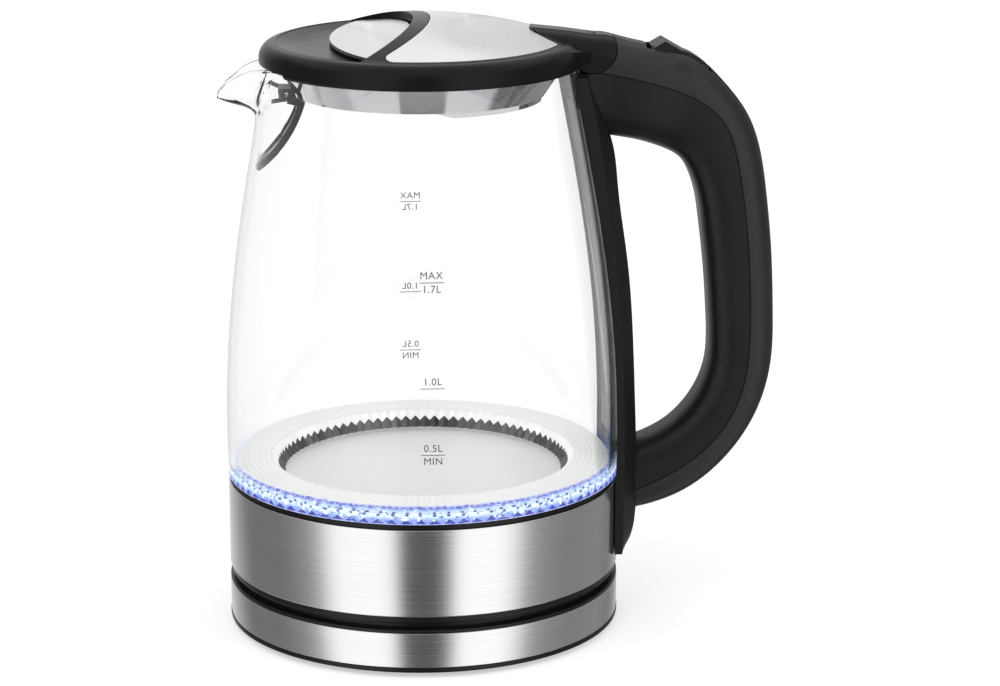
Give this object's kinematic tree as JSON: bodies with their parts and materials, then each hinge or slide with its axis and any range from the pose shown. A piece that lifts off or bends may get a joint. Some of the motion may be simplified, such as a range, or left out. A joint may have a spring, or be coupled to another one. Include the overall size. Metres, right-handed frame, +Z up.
{
  "type": "electric kettle",
  "caption": "Cordless glass jug kettle with steel banded foot, lit floor ring, loop handle, hinged lid with lift lever and a separate round power base.",
  "frame": {"origin": "on the axis of the jug at table level, under the centre of the power base", "axes": "+Z up along the jug, +X towards the handle, -X towards the spout, +Y to the side where the cord gland is"},
  "size_m": [0.2252, 0.1606, 0.25],
  "materials": {
    "brushed_steel": "brushed",
    "polished_steel": "polished",
    "satin_steel": "satin",
    "black_plastic": "satin",
    "gloss_black": "gloss",
    "glass": "clear",
    "clear_plastic": "clear",
    "black_rubber": "matte",
    "clear_silicone": "matte",
    "aluminium": "satin",
    "brass": "satin",
    "control_plastic": "matte",
    "circuit_board": "matte",
    "blue_lamp": "gloss"
  },
  "bodies": {
    "power_base": {"base_shell": "black_plastic", "base_steel_band": "brushed_steel", "base_bottom_plate": "black_plastic", "base_feet": "black_rubber", "base_screws": "polished_steel", "base_connector": "black_plastic", "base_contact_rings": "brass", "cord_gland": "black_rubber"},
    "connector_socket": {"jug_socket": "black_plastic", "jug_socket_contacts": "brass"},
    "jug": {"jug_bottom_cover": "black_plastic", "bottom_cover_screws": "polished_steel", "jug_chassis": "black_plastic", "jug_steel_band": "brushed_steel", "jug_gasket": "black_rubber", "glass_jug": "glass", "light_guide_ring": "clear_plastic", "led_board": "circuit_board", "leds": "blue_lamp", "heater_plate": "satin_steel", "plate_seal": "clear_silicone", "heat_spreader": "aluminium", "heating_element": "aluminium", "thermostat_control": "control_plastic", "dry_boil_discs": "brass", "control_screws": "polished_steel", "filter_frame": "black_plastic", "filter_mesh": "satin_steel", "handle_strip": "black_plastic", "handle_bond_pad": "clear_silicone", "grip_inner": "black_plastic", "grip_outer": "black_plastic", "handle_screws": "polished_steel", "steam_switch": "control_plastic", "steam_disc": "brass", "switch_pin": "black_plastic", "hinge_pin": "black_plastic"},
    "power_switch": {"switch_rocker": "black_plastic"},
    "lid": {"lid_cover": "gloss_black", "lid_inlay": "satin_steel", "lid_pan": "polished_steel", "lid_seal": "clear_silicone", "lid_screws": "polished_steel", "lever_pin": "polished_steel", "lever_spring": "polished_steel"},
    "release_lever": {"release_lever": "satin_steel"},
    "lid_latch": {"lid_latch": "black_plastic"}
  },
  "joints": [
    {"name": "jug_lift", "type": "slide", "parent": "power_base", "child": "connector_socket", "axis": [0, 0, 1], "range_m": [0, 0.1]},
    {"name": "jug_spin", "type": "hinge", "parent": "connector_socket", "child": "jug", "pos_m": [0, 0, 0.03], "axis": [0, 0, 1], "continuous": true},
    {"name": "lid_hinge", "type": "hinge", "parent": "jug", "child": "lid", "pos_m": [0.0676, 0, 0.2382], "axis": [0, 1, 0], "range_deg": [0, 75]},
    {"name": "power_rocker", "type": "hinge", "parent": "jug", "child": "power_switch", "pos_m": [0.1035, 0, 0.2282], "axis": [0, -1, 0], "range_deg": [0, 7]},
    {"name": "release_hinge", "type": "hinge", "parent": "lid", "child": "release_lever", "pos_m": [-0.0065, 0, 0.2421], "axis": [0, 1, 0], "range_deg": [0, 12]},
    {"name": "latch_slide", "type": "slide", "parent": "lid", "child": "lid_latch", "axis": [-1, 0, 0], "range_m": [0, 0.0028]}
  ],
  "couplings": [
    {"joint": "latch_slide", "follows": "release_hinge", "m_per_rad": 0.013369}
  ]
}
